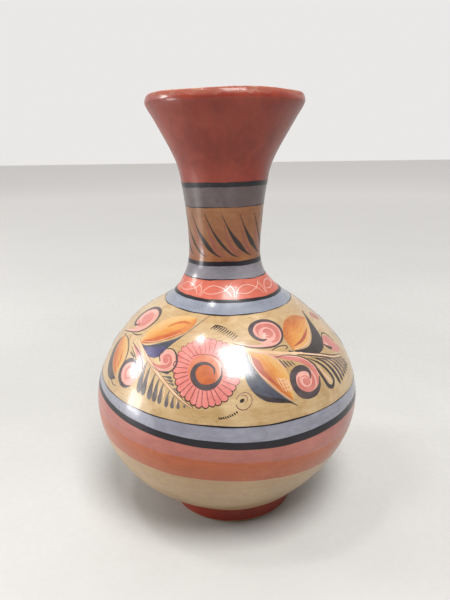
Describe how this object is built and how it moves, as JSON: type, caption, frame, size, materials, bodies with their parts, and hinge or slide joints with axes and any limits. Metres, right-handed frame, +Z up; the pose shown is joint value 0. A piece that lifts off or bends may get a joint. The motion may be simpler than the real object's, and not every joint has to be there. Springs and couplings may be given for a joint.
{
  "type": "vase",
  "caption": "Long-necked round-bellied earthenware vase with a flared mouth and ring foot, banded and painted with a daisy, leaves and scrolls in burnished slips.",
  "frame": {"origin": "middle of the ring foot's resting face", "axes": "+Z up through the mouth, the daisy faces -Y"},
  "size_m": [0.1952, 0.1952, 0.3003],
  "materials": {
    "clay": "raw fired",
    "terracotta_slip": "burnished",
    "grey_slip": "burnished",
    "tan_slip": "burnished",
    "coral_slip": "burnished",
    "ochre_slip": "burnished",
    "rose_slip": "burnished",
    "orange_slip": "burnished",
    "cream_slip": "burnished",
    "black_slip": "burnished",
    "petal_slip": "burnished",
    "leaf_slip": "burnished",
    "slate_slip": "burnished",
    "white_slip": "burnished"
  },
  "bodies": {
    "root": {"foot_ring": "clay", "foot_lute_coil": "clay", "lower_bowl": "clay", "belly_seam_coil": "clay", "upper_bowl": "clay", "neck_seam_coil": "clay", "neck": "clay", "flared_mouth": "clay", "rim_coil": "clay", "foot_slip": "terracotta_slip", "flare_slip": "terracotta_slip", "cream_band": "cream_slip", "orange_band": "orange_slip", "rose_band": "rose_slip", "belly_grey_band": "grey_slip", "painted_field": "ochre_slip", "shoulder_grey_band": "grey_slip", "coral_band": "coral_slip", "lower_neck_grey_band": "grey_slip", "leaf_band": "tan_slip", "upper_neck_grey_band": "grey_slip", "belly_line": "black_slip", "field_base_line": "black_slip", "field_top_line": "black_slip", "coral_base_line": "black_slip", "coral_top_line": "black_slip", "neck_base_line": "black_slip", "neck_top_line": "black_slip", "flare_line": "black_slip"}
  },
  "joints": []
}
